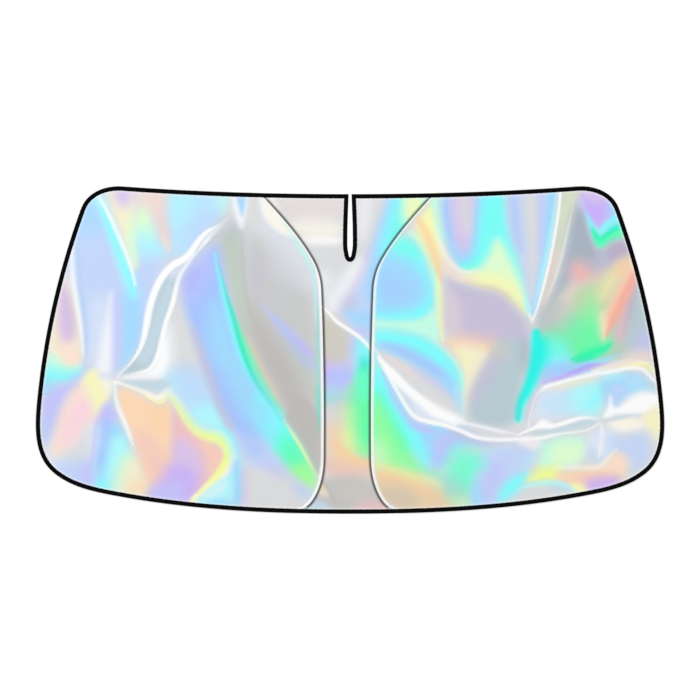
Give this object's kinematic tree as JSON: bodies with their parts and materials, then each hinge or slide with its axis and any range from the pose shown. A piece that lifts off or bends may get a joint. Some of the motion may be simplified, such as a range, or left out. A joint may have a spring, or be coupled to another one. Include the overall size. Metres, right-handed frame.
{
  "type": "windscreen sunshade",
  "caption": "Twist-fold windscreen sunshade: a printed cloth sheet held open by sprung wire hoops, edged in black tape, with a slot for the mirror stalk",
  "frame": {"origin": "the floor under the middle of the outline, with the sheet lying flat and its printed face up", "axes": "+X runs along the width to the right of the picture, +Y towards the edge with the mirror slot, +Z out of the printed face"},
  "size_m": [1.451, 0.7556, 0.0043],
  "materials": {
    "printed_cloth": "pastel iridescent foil print on the front, silver coating on the back",
    "black_tape": "matte woven polyester binding",
    "grey_tape": "matte woven tape",
    "spring_steel": "bright drawn spring wire",
    "crimped_aluminium": "satin crimp sleeve"
  },
  "bodies": {
    "root": {"shade_panel": "printed_cloth", "edge_binding": "black_tape", "slot_binding": "black_tape", "hoop_wire_left": "spring_steel", "hoop_wire_right": "spring_steel", "hoop_ferrule_left": "crimped_aluminium", "hoop_ferrule_right": "crimped_aluminium", "channel_tape_left": "grey_tape", "channel_tape_right": "grey_tape"}
  },
  "joints": []
}
